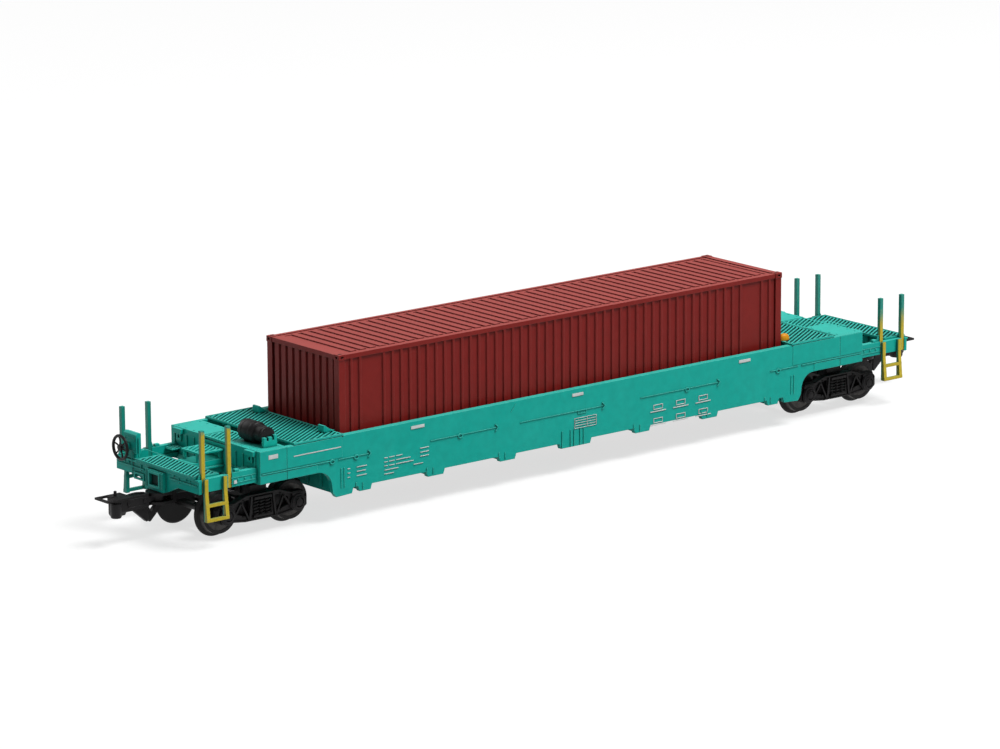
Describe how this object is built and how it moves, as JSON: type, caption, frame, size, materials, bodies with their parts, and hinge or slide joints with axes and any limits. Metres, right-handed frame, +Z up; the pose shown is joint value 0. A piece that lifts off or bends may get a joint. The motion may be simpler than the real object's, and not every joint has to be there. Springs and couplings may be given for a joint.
{
  "type": "scale model well wagon with container",
  "caption": "Scale model of a low well railway wagon on two bogies, with walkways, ladders and hand brake, carrying a removable corrugated container.",
  "frame": {"origin": "middle of the wagon in plan, on the plane under the wheel flanges", "axes": "+X along the wagon towards the end without the hand brake, +Y across it, +Z up"},
  "size_m": [0.2558, 0.0354, 0.0391],
  "materials": {
    "wagon_green": "satin moulded plastic",
    "container_red": "satin moulded plastic",
    "moulded_black": "satin moulded plastic",
    "wheel_black": "dark moulded wheels with worn treads",
    "ladder_yellow": "satin paint on plastic",
    "guide_orange": "satin paint on plastic",
    "screw_steel": "plain steel screw"
  },
  "bodies": {
    "wagon": {"side_sill_front": "wagon_green", "side_sill_back": "wagon_green", "well_crossmembers": "wagon_green", "well_end_left": "wagon_green", "well_end_right": "wagon_green", "bolster_left": "wagon_green", "bolster_right": "wagon_green", "centre_sill_left": "wagon_green", "centre_sill_right": "wagon_green", "headstock_left": "wagon_green", "headstock_right": "wagon_green", "side_beams_left": "wagon_green", "side_beams_right": "wagon_green", "end_grating_left": "wagon_green", "end_grating_right": "wagon_green", "upper_walkway_left": "wagon_green", "upper_walkway_right": "wagon_green", "middle_steps_left": "wagon_green", "middle_steps_right": "wagon_green", "corner_posts_left": "wagon_green", "corner_posts_right": "wagon_green", "corner_ladders_left": "ladder_yellow", "corner_ladders_right": "ladder_yellow", "container_guides": "wagon_green", "marked_guide": "guide_orange", "brake_stand": "wagon_green", "brake_wheel": "moulded_black", "air_reservoir": "moulded_black", "reservoir_bracket": "wagon_green", "pivot_screws": "screw_steel"},
    "container": {"container_side_front": "container_red", "container_side_back": "container_red", "container_closed_end": "container_red", "container_door_end": "container_red", "container_doors": "container_red", "container_roof": "container_red", "container_floor": "container_red"},
    "bogie_left": {"bogie_frame_left": "moulded_black"},
    "bogie_right": {"bogie_frame_right": "moulded_black"},
    "wheelset_1": {"wheelset_1": "wheel_black"},
    "wheelset_2": {"wheelset_2": "wheel_black"},
    "wheelset_3": {"wheelset_3": "wheel_black"},
    "wheelset_4": {"wheelset_4": "wheel_black"},
    "coupler_left": {"coupler_left": "moulded_black"},
    "coupler_right": {"coupler_right": "moulded_black"}
  },
  "joints": [
    {"name": "container_lift", "type": "slide", "parent": "wagon", "child": "container", "axis": [0, 0, 1], "range_m": [0, 0.035]},
    {"name": "bogie_left_swivel", "type": "hinge", "parent": "wagon", "child": "bogie_left", "pos_m": [-0.0914, 0, 0.01], "axis": [0, 0, 1], "range_deg": [-12, 12]},
    {"name": "bogie_right_swivel", "type": "hinge", "parent": "wagon", "child": "bogie_right", "pos_m": [0.0914, 0, 0.01], "axis": [0, 0, 1], "range_deg": [-12, 12]},
    {"name": "wheelset_1_spin", "type": "hinge", "parent": "bogie_left", "child": "wheelset_1", "pos_m": [-0.1016, 0, 0.00573], "axis": [0, 1, 0], "continuous": true},
    {"name": "wheelset_2_spin", "type": "hinge", "parent": "bogie_left", "child": "wheelset_2", "pos_m": [-0.0812, 0, 0.00573], "axis": [0, 1, 0], "continuous": true},
    {"name": "wheelset_3_spin", "type": "hinge", "parent": "bogie_right", "child": "wheelset_3", "pos_m": [0.0812, 0, 0.00573], "axis": [0, 1, 0], "continuous": true},
    {"name": "wheelset_4_spin", "type": "hinge", "parent": "bogie_right", "child": "wheelset_4", "pos_m": [0.1016, 0, 0.00573], "axis": [0, 1, 0], "continuous": true},
    {"name": "coupler_left_swing", "type": "hinge", "parent": "bogie_left", "child": "coupler_left", "pos_m": [-0.11199, 0, 0.0097], "axis": [0, 0, 1], "range_deg": [-8, 8]},
    {"name": "coupler_right_swing", "type": "hinge", "parent": "bogie_right", "child": "coupler_right", "pos_m": [0.11199, 0, 0.0097], "axis": [0, 0, 1], "range_deg": [-8, 8]}
  ]
}
